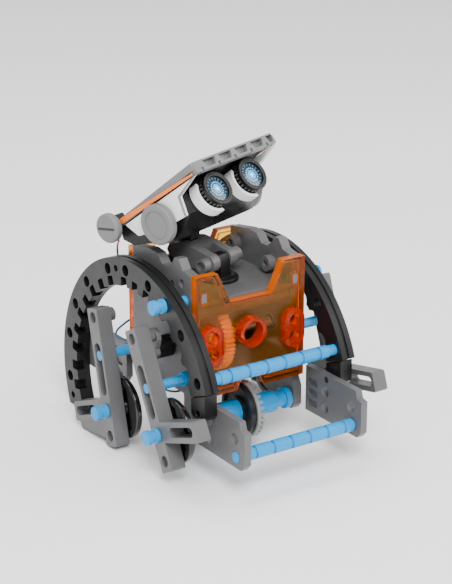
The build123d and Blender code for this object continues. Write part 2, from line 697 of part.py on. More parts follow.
POST_HALF = 2.6
with BuildPart() as neck_base:
    with BuildSketch(NECK.offset(DECK_TOP + 0.15)):
        Circle(7.0)
    extrude(amount=1.3)
    fillet(neck_base.edges().sort_by(Axis.Z)[-1], 0.5)
    with BuildSketch(NECK.offset(DECK_TOP - DECK_T - 1.2)):
        Circle(3.0)
    extrude(amount=DECK_T + 1.6)
    with BuildSketch(NECK.offset(DECK_TOP - DECK_T - 1.8)):
        Circle(4.0)
    extrude(amount=1.6)
    with BuildSketch(neck_side(-POST_HALF)):
        Polygon((-3.6, 60.2), (-3.0, 66.5), (-1.8, 69.0), (1.8, 69.0), (3.0, 66.5), (3.6, 60.2), align=None)
    extrude(amount=2 * POST_HALF)
    with BuildSketch(neck_side(-POST_HALF - 1)):
        with Locations((0, TRUNNION_Z)):
            Circle(1.3 + RUN)
    extrude(amount=2 * POST_HALF + 2, mode=Mode.SUBTRACT)
save(neck_base.part, "neck_base")

BOOM_HALF, FORK_GAP, EYE_HALF = 6.6, 0.3, 2.2
BOOM = [
    (4.4, 64.2), (6.0, 63.6), (13.0, 64.9), (17.4, 66.6), (18.4, 68.6), (17.0, 71.2), (12.0, 72.0),
    (5.0, 71.0), (0.5, 69.8),
]


def boom_half(side):
    """Half of the neck boom: cheek, trunnion stub and its share of the two forks."""
    with BuildPart() as half:
        with BuildSketch(neck_side(0)):
            Polygon(*BOOM, align=None)
            with Locations((0, TRUNNION_Z)):
                Circle(3.3)
        extrude(amount=BOOM_HALF, dir=NECK.x_dir * side)
        with BuildSketch(neck_side(side * (BOOM_HALF - 0.5))):
            with Locations((0, TRUNNION_Z)):
                Circle(2.5)
        extrude(amount=4.0, dir=NECK.x_dir * side)
        with BuildSketch(neck_side(side * (BOOM_HALF + 3.5))):
            with Locations((0, TRUNNION_Z)):
                Circle(1.5)
        extrude(amount=0.8, dir=NECK.x_dir * -side, mode=Mode.SUBTRACT)
        # fork over the post, and fork round the head's eye
        with BuildSketch(neck_side(0)):
            Polygon((-6, 60), (5.2, 60), (5.2, 71), (3.4, 74), (-6, 74), align=None)
        extrude(amount=POST_HALF + FORK_GAP, dir=NECK.x_dir * side, mode=Mode.SUBTRACT)
        with BuildSketch(neck_side(0)):
            Polygon((10.6, 60), (20, 60), (20, 75), (10.6, 75), align=None)
        extrude(amount=EYE_HALF + FORK_GAP, dir=NECK.x_dir * side, mode=Mode.SUBTRACT)
        with BuildSketch(neck_side(0)):
            with Locations((0, TRUNNION_Z), (HEAD_BACK, HEAD_JOINT_Z)):
                Circle(1.32)
        extrude(amount=BOOM_HALF - 0.8, dir=NECK.x_dir * side, mode=Mode.SUBTRACT)
    return half.part


for word, side in SIDES.items():
    save(boom_half(side), f"neck_{word}_half")

with BuildPart() as neck_pins:
    with BuildSketch(neck_side(-BOOM_HALF + 0.9)):
        with Locations((0, TRUNNION_Z), (HEAD_BACK, HEAD_JOINT_Z)):
            Circle(1.3)
    extrude(amount=2 * (BOOM_HALF - 0.9))
save(neck_pins.part, "neck_pins")

# ---- head ---------------------------------------------------------------------------------
HEAD_UP = Vector(0, 0, 1).rotate(Axis((0, 0, 0), tuple(NECK.x_dir)), -HEAD_PITCH)
LEAN = Axis((0, 0, 0), tuple(NECK.y_dir))   # the head leans a little to its left as seen from behind
HEAD = Plane(
    origin=NECK.origin + NECK.y_dir * PANEL_BACK + Vector(0, 0, PANEL_Z),
    x_dir=NECK.x_dir.rotate(LEAN, -HEAD_ROLL),
    z_dir=HEAD_UP.rotate(LEAN, -HEAD_ROLL),
)


def head_side(x):
    """Plane square to the head's width: sketch x is down its back, sketch y out of its top."""
    return Plane(origin=HEAD.origin + HEAD.x_dir * x, x_dir=HEAD.y_dir, z_dir=HEAD.x_dir)


def head_front(y):
    """Plane that faces forward at depth y: sketch x is across, sketch y out of the top."""
    return Plane(origin=HEAD.origin + HEAD.y_dir * y, x_dir=HEAD.x_dir, z_dir=-HEAD.y_dir)


PANEL_HALF, PANEL_FRONT, PANEL_REAR, PANEL_T = 21.9, -23.5, 20.8, 2.5
BARREL_Y, BARREL_Z, BARREL_R, KNOB_R = 2.2, -10.2, 7.6, 7.2
REAR_Y, REAR_Z = 23.2, -0.8
EYE_X, EYE_Z, EYE_FRONT, EYE_R = 9.4, -10.0, -17.3, 6.1
SHELL_HALF = 20.5

with BuildPart() as panel_frame:
    with BuildSketch(HEAD.offset(-PANEL_T)):
        with Locations((0, (PANEL_FRONT + PANEL_REAR) / 2)):
            RectangleRounded(2 * PANEL_HALF, PANEL_REAR - PANEL_FRONT, 1.6)
    extrude(amount=PANEL_T)
    with BuildSketch(HEAD.offset(-4.0)):
        with Locations((0, PANEL_FRONT + 1.6)):
            Rectangle(2 * PANEL_HALF - 1.0, 3.2)
    extrude(amount=3.0)
    with BuildSketch(HEAD):
        with Locations((0, -0.9)):
            RectangleRounded(2 * PANEL_HALF - 4.4, 38.6, 0.8)
    extrude(amount=-1.2, mode=Mode.SUBTRACT)
    # scalloped front rim: tapered pockets between notched ribs
    with BuildSketch(head_front(PANEL_FRONT)):
        with Locations(*[(x, -1.9) for x in (-13.2, -4.7, 3.8, 12.4)]):
            Trapezoid(6.5, 2.6, 66, rotation=180)
        with Locations((19.4, -1.9)):
            Trapezoid(3.6, 2.6, 70, rotation=180)
    extrude(amount=-2.0, mode=Mode.SUBTRACT)
    with BuildSketch(head_front(PANEL_FRONT - 0.2)):
        with Locations(*[(x, -3.6) for x in (-17.9, -9.2, -0.6, 8.0, 16.7)]):
            Rectangle(1.0, 1.8)
    extrude(amount=-2.6, mode=Mode.SUBTRACT)
save(panel_frame.part, "panel_frame")

with BuildPart() as solar_cell:
    with BuildSketch(HEAD.offset(-1.2)):
        with Locations((0, -0.9)):
            Rectangle(2 * PANEL_HALF - 5.0, 38.0)
    extrude(amount=0.9)
save(solar_cell.part, "solar_cell")

SHELL = [
    (-19.5, -3.4), (-10.4, -4.1), (-10.3, -13.2), (-6.5, -15.5), (0.9, -18.0), (13.5, -13.0),
    (20.6, -10.4), (24.0, -6.4), (22.6, -PANEL_T - 0.1), (-19.5, -PANEL_T - 0.1),
]
EYE_AT = tuple(NECK.origin + NECK.y_dir * HEAD_BACK + Vector(0, 0, HEAD_JOINT_Z))
with BuildPart() as head_shell:
    with BuildSketch(head_side(-SHELL_HALF)):
        Polygon(*SHELL, align=None)
        with Locations((BARREL_Y, BARREL_Z)):
            Circle(BARREL_R)
    extrude(amount=2 * SHELL_HALF)
    # battery-box hollow under the panel
    with BuildSketch(HEAD.offset(-PANEL_T)):
        with Locations((0, 0.5)):
            Rectangle(33, 26)
    extrude(amount=-6.5, mode=Mode.SUBTRACT)
    # the tail is open between its two arms
    with BuildSketch(HEAD.offset(0)):
        with Locations((0, 24.0)):
            Rectangle(34, 10)
    extrude(amount=-20, mode=Mode.SUBTRACT)
    # lugs on the two arms, bored for the rear roller
    for side in SIDES.values():
        with BuildSketch(head_side(side * 17)):
            with Locations((REAR_Y, REAR_Z)):
                Circle(3.6)
            with Locations((PANEL_REAR - 4.9, 0)):
                Rectangle(10, 2 * PANEL_T + 0.2, mode=Mode.SUBTRACT)
        extrude(amount=SHELL_HALF - 17, dir=HEAD.x_dir * side)
    with BuildSketch(head_side(-SHELL_HALF - 1)):
        with Locations((REAR_Y, REAR_Z)):
            Circle(2.01)
    extrude(amount=2 * SHELL_HALF + 2, mode=Mode.SUBTRACT)
    # stem and eye that hang on the neck's rear pivot
    with BuildSketch(neck_side(-EYE_HALF)):
        with Locations((HEAD_BACK, HEAD_JOINT_Z)):
            Circle(3.2)
        Polygon((11.8, 67.5), (17.6, 69.5), (15.4, 79.5), (4.0, 80.5), (5.5, 77.0), (10.4, 75.0), align=None)
    extrude(amount=2 * EYE_HALF)
    with BuildSketch(neck_side(-EYE_HALF - 1)):
        with Locations((HEAD_BACK, HEAD_JOINT_Z)):
            Circle(1.3 + RUN)
    extrude(amount=2 * EYE_HALF + 2, mode=Mode.SUBTRACT)
save(head_shell.part, "head_shell")

SIDE_PANEL = [
    (-22.4, -4.2), (-11.4, -6.9), (-9.6, -13.4), (-4.0, -12.9), (12.3, -9.8), (15.5, -8.9),
    (18.6, -2.8), (-20.0, -4.1),
]
STRIPE = [(-21.8, -3.9), (18.6, -2.1), (19.0, -1.8), (18.9, -0.4), (18.4, -0.15), (-21.8, -3.1)]

with BuildPart() as side_panels:
    for side in SIDES.values():
        with BuildSketch(head_side(side * (SHELL_HALF + 0.05))):
            Polygon(*SIDE_PANEL, align=None)
            with Locations((BARREL_Y, BARREL_Z)):
                Circle(4.2, mode=Mode.SUBTRACT)
        extrude(amount=1.0, dir=HEAD.x_dir * side)
save(side_panels.part, "side_panels")

with BuildPart() as side_knobs:
    for side in SIDES.values():
        for start, end, radius in ((0.02, 1.4, 4.0), (1.2, 4.35, KNOB_R)):
            with BuildSketch(head_side(side * (SHELL_HALF + start))):
                with Locations((BARREL_Y, BARREL_Z)):
                    Circle(radius)
            extrude(amount=end - start, dir=HEAD.x_dir * side)
    fillet(side_knobs.edges().filter_by(GeomType.CIRCLE).group_by(SortBy.RADIUS)[-1], 0.7)
    for side in SIDES.values():
        with BuildSketch(head_side(side * (SHELL_HALF + 4.35))):
            with Locations((BARREL_Y, BARREL_Z)):
                Circle(5.0)
        extrude(amount=0.5, dir=HEAD.x_dir * -side, mode=Mode.SUBTRACT)
save(side_knobs.part, "side_knobs")

EYES = [(-EYE_X, EYE_Z), (EYE_X, EYE_Z)]
with BuildPart() as eye_rings:
    with BuildSketch(head_front(-10.45)):
        with Locations(*EYES):
            Circle(EYE_R - 0.5)
    extrude(amount=-EYE_FRONT - 10.45)
    with BuildSketch(head_front(EYE_FRONT + 1.3)):
        with Locations(*EYES):
            Circle(EYE_R)
    extrude(amount=1.3)
    with BuildSketch(head_front(EYE_FRONT + 1.7)):
        with Locations(*EYES):
            Circle(4.7)
    extrude(amount=1.7, mode=Mode.SUBTRACT)
    with BuildSketch(head_front(-11.4)):
        with Locations(*EYES):
            with PolarLocations(EYE_R - 0.5, 26):
                Rectangle(0.9, 0.75)
    extrude(amount=4.0, mode=Mode.SUBTRACT)
save(eye_rings.part, "eye_rings")

with BuildPart() as eye_lenses:
    with BuildSketch(head_front(EYE_FRONT + 1.7)):
        with Locations(*EYES):
            Circle(4.65)
    extrude(amount=0.8)
save(eye_lenses.part, "eye_lenses")

with BuildPart() as side_stripes:
    for side in SIDES.values():
        with BuildSketch(head_side(side * (PANEL_HALF + 0.02))):
            Polygon(*STRIPE, align=None)
        extrude(amount=0.6, dir=HEAD.x_dir * side)
save(side_stripes.part, "side_stripes")

with BuildPart() as eye_trims:
    for side in SIDES.values():
        with BuildSketch(head_front(-10.45)):
            with Locations((side * EYE_X, EYE_Z)):
                Circle(7.4)
                Circle(6.35, mode=Mode.SUBTRACT)
            with Locations(Location((side * EYE_X, EYE_Z), 25)):
                with Locations((27, 0)):
                    Rectangle(60, 60, mode=Mode.SUBTRACT)
        extrude(amount=4.2)
save(eye_trims.part, "eye_trims")

with BuildPart() as rear_roller:
    with BuildSketch(head_side(-SHELL_HALF - 2.4)):
        with Locations((REAR_Y, REAR_Z)):
            Circle(2.0)
    extrude(amount=2 * SHELL_HALF + 4.8)
    for side in SIDES.values():
        with BuildSketch(head_side(side * (SHELL_HALF + 2.15))):
            with Locations((REAR_Y, REAR_Z)):
                Circle(5.3)
        extrude(amount=3.4, dir=HEAD.x_dir * side)
    fillet(rear_roller.edges().filter_by(GeomType.CIRCLE).group_by(SortBy.RADIUS)[-1], 1.2)
save(rear_roller.part, "rear_roller")

# ---- wires --------------------------------------------------------------------------------
WIRE_R = 0.38
RED_ROUTE = [
    (-25.4, 15.6, 71.2), (-23.6, 20.2, 68.4), (-22.4, 21.8, 62.6), (-20.6, 22.4, 56.6),
    (-18.2, 21.4, 51.2), (-16.9, 17.8, 48.0), (-16.8, 12.2, 47.4),
]
BLUE_ROUTE = [
    (-16.8, 12.2, 41.6), (-17.2, 18.0, 40.8), (-20.6, 20.6, 37.8), (-26.0, 18.8, 36.0), (-28.2, 13.2, 35.8),
    (-27.4, 6.2, 36.9), (-27.2, 0.6, 34.6), (-27.0, -3.6, 30.4), (-26.4, -8.4, 26.8), (-24.6, -12.8, 23.6),
    (-19.8, -14.8, 22.6), (-15.2, -13.2, 23.6), (-12.9, -11.4, 27.6),
]


def wire(name, route):
    """A thin round wire along route, with a bend as wide as each pair of runs allows."""
    points = [Vector(*spot) for spot in route]
    radii = []
    for before, corner, after in zip(points, points[1:], points[2:]):
        turn = radians((corner - before).get_angle(after - corner))
        shorter = min((corner - before).length, (after - corner).length)
        radii.append(0.45 * shorter / tan(turn / 2))
    print(name, "bend radii mm:", [round(radius, 1) for radius in radii])
    with BuildPart() as strand:
        with BuildLine() as path:
            FilletPolyline(*points, radius=radii)
        run = path.wires()[0]
        with BuildSketch(Plane(origin=run @ 0, z_dir=run % 0)):
            Circle(WIRE_R)
        sweep()
    straight = pi * WIRE_R**2 * run.length
    print(name, "length mm:", round(run.length, 1), "volume ratio:", round(strand.part.volume / straight, 4))
    save(strand.part, name)


wire("red_wire", RED_ROUTE)
wire("blue_wire", BLUE_ROUTE)
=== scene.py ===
"""Solar robot kit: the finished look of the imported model, in metres.

The CAD frame gives every place. Most moulded parts are rebuilt from their node with rounded edges,
and small parts that the frame leaves plain are added on top. Left is -X, which is the viewer's left
when the robot faces the viewer.
"""
import json
from math import cos, pi, radians, sin

import bmesh
import bpy
from mathutils import Matrix, Vector


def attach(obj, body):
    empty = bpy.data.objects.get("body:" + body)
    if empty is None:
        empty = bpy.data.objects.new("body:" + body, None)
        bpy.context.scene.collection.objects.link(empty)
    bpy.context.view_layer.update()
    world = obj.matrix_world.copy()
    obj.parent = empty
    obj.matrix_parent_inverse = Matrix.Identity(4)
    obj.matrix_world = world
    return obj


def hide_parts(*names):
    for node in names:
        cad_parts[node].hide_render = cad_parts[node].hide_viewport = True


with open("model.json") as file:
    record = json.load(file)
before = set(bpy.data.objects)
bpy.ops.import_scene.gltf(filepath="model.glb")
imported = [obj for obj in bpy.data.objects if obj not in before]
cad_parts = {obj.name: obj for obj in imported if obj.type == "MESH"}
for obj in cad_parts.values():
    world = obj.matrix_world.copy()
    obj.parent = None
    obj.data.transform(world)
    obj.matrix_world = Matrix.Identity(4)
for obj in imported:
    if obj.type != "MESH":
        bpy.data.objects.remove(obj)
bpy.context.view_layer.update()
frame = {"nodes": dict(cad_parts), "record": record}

MM = 0.001
STAND_Y = 7.3                 # the drawing's zero lies this far in front of the footprint's middle
SIDES = (-1, 1)
SIDE_WORDS = ("left", "right")
CORNERS = ("front_left", "front_right", "rear_left", "rear_right")

BODIES = frame["record"]["behaviour"]["bodies"]
NODE_BODY = {node: body for body, nodes in BODIES.items() for node in nodes}
NODE_SLOT = {part["node"]: part["material_slot"] for part in frame["record"]["subparts"]}


def spot(x, y, z):
    """A point given in the drawing's millimetres, in the frame's metres."""
    return Vector((x, y + STAND_Y, z)) * MM


def new_object(name, data):
    """A new object in the scene."""
    made = bpy.data.objects.new(name, data)
    bpy.context.scene.collection.objects.link(made)
    return made


# ---- camera -------------------------------------------------------------------------------
VIEW_DIRECTION = Vector((0.523, 0.784, -0.334))
camera_data = bpy.data.cameras.new("camera")
camera_data.sensor_width = 36.0
camera_data.lens = 106.3
camera_data.clip_start = 0.05
camera = new_object("camera", camera_data)
camera.location = spot(-316.08, -488.35, 257.73)
camera.rotation_euler = VIEW_DIRECTION.to_track_quat("-Z", "Y").to_euler()
bpy.context.scene.camera = camera


# ---- materials ----------------------------------------------------------------------------
def node_material(name):
    """An empty node material: returns the material, its node tree and its Principled shader."""
    material = bpy.data.materials.new(name)
    material.use_nodes = True
    tree = material.node_tree
    return material, tree, tree.nodes["Principled BSDF"]


def object_noise(tree, scale, detail=3.0, roughness=0.5):
    """Noise in the object's own coordinates, with scale in features per metre."""
    coordinates = tree.nodes.new("ShaderNodeTexCoord")
    noise = tree.nodes.new("ShaderNodeTexNoise")
    noise.inputs["Scale"].default_value = scale
    noise.inputs["Detail"].default_value = detail
    noise.inputs["Roughness"].default_value = roughness
    tree.links.new(coordinates.outputs["Object"], noise.inputs["Vector"])
    return noise.outputs["Fac"]


def ramp(tree, source, low, high, target):
    """Drives a socket with a 0 to 1 value mapped onto two colours (or two levels)."""
    node = tree.nodes.new("ShaderNodeValToRGB")
    for element, position, color in zip(node.color_ramp.elements, (0.3, 0.7), (low, high)):
        element.position = position
        element.color = (*color, 1.0) if isinstance(color, tuple) else (color, color, color, 1.0)
    tree.links.new(source, node.inputs["Fac"])
    tree.links.new(node.outputs["Color"], target)


def bump(tree, source, shader, strength, distance):
    """Surface relief from a 0 to 1 value, with distance in metres."""
    node = tree.nodes.new("ShaderNodeBump")
    node.inputs["Strength"].default_value = strength
    node.inputs["Distance"].default_value = distance
    tree.links.new(source, node.inputs["Height"])
    tree.links.new(node.outputs["Normal"], shader.inputs["Normal"])


def shade(color, factor):
    """A lighter or darker version of a colour."""
    return tuple(min(1.0, channel * factor) for channel in color)


def moulded(name, color, roughness=0.4, spread=0.08, vary=0.08, grain=0.00002, coat=0.0, specular=0.5):
    """Moulded plastic: slow colour drift, flow marks, uneven gloss and a fine sparked grain."""
    material, tree, shader = node_material(name)
    drift = object_noise(tree, 45.0, 4.0)
    ramp(tree, drift, shade(color, 1 - vary), shade(color, 1 + vary), shader.inputs["Base Color"])
    smear = object_noise(tree, 160.0, 5.0, 0.65)
    ramp(tree, smear, roughness - spread, roughness + spread, shader.inputs["Roughness"])
    bump(tree, object_noise(tree, 3800.0, 2.0), shader, 0.5, grain)
    shader.inputs["IOR"].default_value = 1.5
    shader.inputs["Specular IOR Level"].default_value = specular
    if coat:
        shader.inputs["Coat Weight"].default_value = coat
        shader.inputs["Coat Roughness"].default_value = 0.12
    return material


def clear_plastic(name, color, depth):
    """Clear dyed plastic with faint flow marks; depth colours it where light runs through."""
    material, tree, shader = node_material(name)
    ramp(tree, object_noise(tree, 60.0, 3.0), shade(color, 0.9), color, shader.inputs["Base Color"])
    flow = object_noise(tree, 220.0, 4.0, 0.6)
    ramp(tree, flow, 0.03, 0.09, shader.inputs["Roughness"])
    bump(tree, flow, shader, 0.35, 0.00003)
    shader.inputs["Transmission Weight"].default_value = depth
    shader.inputs["IOR"].default_value = 1.22
    return material


def metal(name, color, roughness):
    """Turned metal with fine streaks in its gloss."""
    material, tree, shader = node_material(name)
    streaks = object_noise(tree, 900.0, 4.0, 0.6)
    ramp(tree, streaks, shade(color, 0.88), color, shader.inputs["Base Color"])
    ramp(tree, streaks, roughness, roughness + 0.15, shader.inputs["Roughness"])
    shader.inputs["Metallic"].default_value = 1.0
    return material


SOFT_SHINE = 0.32             # deep blacks and blues mirror the bright room less than other plastics
FINE_GRAIN = 0.00001
MATERIALS = {
    "grey_plastic": moulded("grey_abs", (0.092, 0.092, 0.094), 0.38, 0.07, 0.07),
    "light_plastic": moulded("light_grey_abs", (0.2, 0.2, 0.2), 0.42),
    "charcoal_plastic": moulded(
        "charcoal_abs", (0.0065, 0.0067, 0.0072), 0.36, 0.08, 0.14, specular=SOFT_SHINE),
    "black_plastic": moulded("black_abs", (0.004, 0.004, 0.0045), 0.3, 0.08, 0.15, specular=SOFT_SHINE),
    "gloss_black": moulded(
        "gloss_black_abs", (0.003, 0.003, 0.0035), 0.14, 0.05, 0.15, 0.000005, 0.6, SOFT_SHINE),
    "white_plastic": moulded("white_abs", (0.8, 0.8, 0.79), 0.33, 0.06, 0.03),
    "orange_plastic": moulded("orange_abs", (0.85, 0.17, 0.0), 0.3, 0.06, 0.06),
    "orange_clear": clear_plastic("clear_orange", (1.0, 0.5, 0.08), 0.97),
    "yellow_plastic": moulded("yellow_pom", (0.95, 0.6, 0.0), 0.35, 0.06, 0.05),
    "blue_plastic": moulded(
        "blue_pom", (0.0, 0.235, 0.54), 0.28, 0.06, 0.06, FINE_GRAIN, specular=SOFT_SHINE),
    "steel": metal("turned_steel", (0.62, 0.62, 0.62), 0.28),
    "brass": metal("turned_brass", (0.75, 0.55, 0.25), 0.3),
    "red_wire": moulded("red_insulation", (0.62, 0.05, 0.1), 0.4, 0.05, 0.1, FINE_GRAIN),
    "blue_wire": moulded(
        "blue_insulation", (0.012, 0.06, 0.16), 0.4, 0.05, 0.1, FINE_GRAIN, specular=SOFT_SHINE),
    "solar_cell": moulded("silicon_cell", (0.012, 0.02, 0.07), 0.2, 0.06, 0.5, FINE_GRAIN, 0.8),
}
SATIN_GREY = moulded("satin_grey_abs", (0.15, 0.15, 0.152), 0.45, 0.06, 0.05)
# Painted shade: near-black grey for the thin sheets laid in the side knobs' slots, where there is only
# shade.
SLOT_SHADE_GREY = moulded("painted_slot_shade", (0.02, 0.02, 0.02), 0.5)
# Painted highlight: the eye rings' grip ribs get a lighter grey than the rings' black, for light
# catching the knurl.
KNURL_HIGHLIGHT_GREY = moulded("knurl_painted_highlight", (0.035, 0.035, 0.037), 0.35)
COVER_RIM = clear_plastic("clear_orange_rim", (0.95, 0.19, 0.0), 0.6)
COVER_BOSS = clear_plastic("clear_orange_boss", (0.95, 0.055, 0.0), 0.8)


def maths(tree, operation, first, second):
    """One maths node on a value and either a number or a second value."""
    node = tree.nodes.new("ShaderNodeMath")
    node.operation = operation
    tree.links.new(first, node.inputs[0])
    if isinstance(second, float):
        node.inputs[1].default_value = second
    else:
        tree.links.new(second, node.inputs[1])
    return node.outputs["Value"]


def stepped_ramp(tree, source, steps):
    """Maps a value onto flat bands of colour, each given as its start and its colour."""
    node = tree.nodes.new("ShaderNodeValToRGB")
    node.color_ramp.interpolation = "CONSTANT"
    for position, color in steps[2:]:
        node.color_ramp.elements.new(position)
    for element, (position, color) in zip(node.color_ramp.elements, steps):
        element.position = position
        element.color = (*color, 1.0)
    tree.links.new(source, node.inputs["Fac"])
    return node.outputs["Color"]


EYE_RINGS = [   # printed rings: where each starts, as a share of the lens's width, and its colour
    (0.0, (0.35, 0.85, 1.0)), (0.05, (0.005, 0.08, 0.2)), (0.075, (0.03, 0.42, 0.85)),
    (0.115, (0.002, 0.012, 0.03)), (0.15, (0.02, 0.3, 0.65)), (0.18, (0.002, 0.008, 0.02)),
    (0.245, (0.01, 0.16, 0.36)), (0.265, (0.002, 0.003, 0.005)), (0.46, (0.03, 0.035, 0.04)),
]
SPOKE_STRENGTHS = [(0.0, 0.0), (0.24, 1.0), (0.3, 0.0), (0.38, 0.35), (0.45, 0.0)]
EYE_SPOKE_ZONES = [(start, (strength,) * 3) for start, strength in SPOKE_STRENGTHS]
EYE_SPOKES = 18.0
EYE_SPOKE_COLOR = (0.03, 0.4, 0.8, 1.0)


def eye_material():
    """Printed rings and spokes round a pale centre, worked out from the lens's UVs, with a painted glow:
    the print's colours are also emitted as light.
    """
    material, tree, shader = node_material("eye_print_painted_glow")
    uv = tree.nodes.new("ShaderNodeUVMap")
    centre = tree.nodes.new("ShaderNodeVectorMath")
    centre.operation = "SUBTRACT"
    centre.inputs[1].default_value = (0.5, 0.5, 0.0)
    tree.links.new(uv.outputs["UV"], centre.inputs[0])
    radius = tree.nodes.new("ShaderNodeVectorMath")
    radius.operation = "LENGTH"
    tree.links.new(centre.outputs["Vector"], radius.inputs[0])
    split = tree.nodes.new("ShaderNodeSeparateXYZ")
    tree.links.new(centre.outputs["Vector"], split.inputs["Vector"])

    angle = maths(tree, "ARCTAN2", split.outputs["Y"], split.outputs["X"])
    turns = maths(tree, "MULTIPLY", angle, EYE_SPOKES)
    wave = tree.nodes.new("ShaderNodeMath")
    wave.operation = "SINE"
    tree.links.new(turns, wave.inputs[0])
    spokes = maths(tree, "GREATER_THAN", wave.outputs["Value"], 0.45)
    rings = stepped_ramp(tree, radius.outputs["Value"], EYE_RINGS)
    zones = stepped_ramp(tree, radius.outputs["Value"], EYE_SPOKE_ZONES)

    mix = tree.nodes.new("ShaderNodeMix")
    mix.data_type = "RGBA"
    mix.inputs["B"].default_value = EYE_SPOKE_COLOR
    tree.links.new(maths(tree, "MULTIPLY", zones, spokes), mix.inputs["Factor"])
    tree.links.new(rings, mix.inputs["A"])
    tree.links.new(mix.outputs["Result"], shader.inputs["Base Color"])
    # Painted glow: the print is also the emission colour, so the lens lights up though it is no lamp.
    tree.links.new(mix.outputs["Result"], shader.inputs["Emission Color"])
    shader.inputs["Emission Strength"].default_value = 1.6
    shader.inputs["Roughness"].default_value = 0.18
    shader.inputs["Coat Weight"].default_value = 0.8
    shader.inputs["Coat Roughness"].default_value = 0.05
    return material


MATERIALS["eye_glow"] = eye_material()
NODE_MATERIAL = {   # nodes whose finish differs from the rest of their slot
    "panel_frame": SATIN_GREY, "side_knobs": SATIN_GREY, "rear_roller": SATIN_GREY,
    "idler_gear": MATERIALS["white_plastic"], "solar_cell": MATERIALS["solar_cell"],
}


# ---- pieces -------------------------------------------------------------------------------
def finish_piece(piece, body, slot, material=None):
    """Gives a piece its finish and its body."""
    piece.data.materials.clear()
    piece.data.materials.append(material or MATERIALS[slot])
    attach(piece, body)
    return piece


def smooth_by_angle(mesh, angle=35):
    """Smooth shading that keeps edges sharper than the angle, in degrees."""
    for polygon in mesh.polygons:
        polygon.use_smooth = True
    mesh.set_sharp_from_angle(angle=radians(angle))


def add_bevel(piece, width, segments=2):
    """Rounds a piece's edges, with the width in millimetres."""
    bevel = piece.modifiers.new("rounded_edges", "BEVEL")
    bevel.width = width * MM
    bevel.segments = segments
    bevel.limit_method = "ANGLE"
    bevel.angle_limit = radians(33)
    bevel.harden_normals = True
    bevel.use_clamp_overlap = True


def close_mesh(work, mesh):
    """Turns a bmesh's faces outwards and moves it into its mesh."""
    bmesh.ops.recalc_face_normals(work, faces=work.faces)
    work.to_mesh(mesh)
    work.free()


def rounded_copy(node, width):
    """The node's shape as one clean mesh with moulded, rounded edges, in the node's place."""
    mesh = frame["nodes"][node].data.copy()
    if "custom_normal" in mesh.attributes:
        mesh.attributes.remove(mesh.attributes["custom_normal"])
    work = bmesh.new()
    work.from_mesh(mesh)
    bmesh.ops.remove_doubles(work, verts=work.verts, dist=2e-6)
    bmesh.ops.dissolve_limit(work, angle_limit=radians(0.6), verts=work.verts, edges=work.edges)
    close_mesh(work, mesh)
    mesh.name = f"{node}_moulded"
    smooth_by_angle(mesh)
    piece = new_object(f"{node}_moulded", mesh)
    add_bevel(piece, width)
    finish_piece(piece, NODE_BODY[node], NODE_SLOT[node], NODE_MATERIAL.get(node))
    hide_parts(node)
    return piece


def at_corners(stem):
    """The four nodes of a part that each corner of the robot has."""
    return [f"{stem}_{corner}" for corner in CORNERS]


EDGE_WIDTHS = {   # how round each part's moulded edges are, in millimetres
    0.35: [
        "body_left_half", "body_right_half", *at_corners("leg"), "cranks", "arch_clips", "drive_hubs",
        "neck_left_half", "neck_right_half", "head_shell",
    ],
    0.25: [
        *at_corners("arch"), "front_plate_left", "front_plate_right", "rear_plate_left",
        "rear_plate_right", "panel_frame", "neck_base", "rear_roller", "front_cover", "rear_cover",
        "side_panels",
    ],
    0.2: [
        "arch_pegs", "upper_crossbar", "lower_crossbar", "plate_pins", "guide_pegs", "axle_sleeves",
        *at_corners("axle_peg"), "eye_trims", "side_stripes", "side_knobs",
    ],
    0.1: [*at_corners("wheel"), "crown_gear", "crown_disc", "yellow_gear", "eye_rings"],
}
COPIES = {node: rounded_copy(node, width) for width, nodes in EDGE_WIDTHS.items() for node in nodes}
PLAIN_NODES = [   # shown as the frame has them
    "body_screws", "motor", "motor_pinion", "idler_gear", "idler_shaft", "output_shaft", "drive_axle",
    "neck_pins", "solar_cell",
]
for node in PLAIN_NODES:
    part = frame["nodes"][node]
    part.data.materials.clear()
    part.data.materials.append(NODE_MATERIAL.get(node) or MATERIALS[NODE_SLOT[node]])

FRONT_COVER_FACE, REAR_COVER_FACE = -30.2, 14.2
BLACK_PIN, BLACK_PIN_REACH = (-43.5, 27.3), 3.0


def tint_cover(piece, face, out):
    """Deeper colour on a clear cover's rims, and redder bosses in front of its face."""
    piece.data.materials.append(COVER_RIM)
    piece.data.materials.append(COVER_BOSS)
    for polygon in piece.data.polygons:
        proud = (polygon.center.y - spot(0, face, 0).y) * out
        if proud > 0.2 * MM:
            polygon.material_index = 2
        elif abs(polygon.normal.y) < 0.5:
            polygon.material_index = 1


def darken_near(piece, y, z, reach):
    """Black finish on the faces within reach of a line across the robot, at y and z."""
    piece.data.materials.append(MATERIALS["charcoal_plastic"])
    for polygon in piece.data.polygons:
        offset = polygon.center - spot(0, y, z)
        if (offset.y**2 + offset.z**2) ** 0.5 < reach * MM:
            polygon.material_index = 1


darken_near(COPIES["plate_pins"], *BLACK_PIN, BLACK_PIN_REACH)
tint_cover(COPIES["front_cover"], FRONT_COVER_FACE, -1)
tint_cover(COPIES["rear_cover"], REAR_COVER_FACE, 1)


# ---- small parts of the head --------------------------------------------------------------
HEAD_YAW, HEAD_PITCH, HEAD_ROLL = radians(17.0), radians(38.0), radians(2.5)
NECK_ACROSS = Vector((cos(HEAD_YAW), sin(HEAD_YAW), 0))
NECK_BACK = Vector((-sin(HEAD_YAW), cos(HEAD_YAW), 0))
LEAN = Matrix.Rotation(-HEAD_ROLL, 3, NECK_BACK)
HEAD_X = LEAN @ NECK_ACROSS
HEAD_Z = LEAN @ (Matrix.Rotation(-HEAD_PITCH, 3, NECK_ACROSS) @ Vector((0, 0, 1)))
HEAD_Y = HEAD_Z.cross(HEAD_X)
NECK_Y, PANEL_BACK, PANEL_Z = -10.0, 12.1, 93.95
HEAD_ORIGIN = Vector((0, NECK_Y, PANEL_Z)) + NECK_BACK * PANEL_BACK

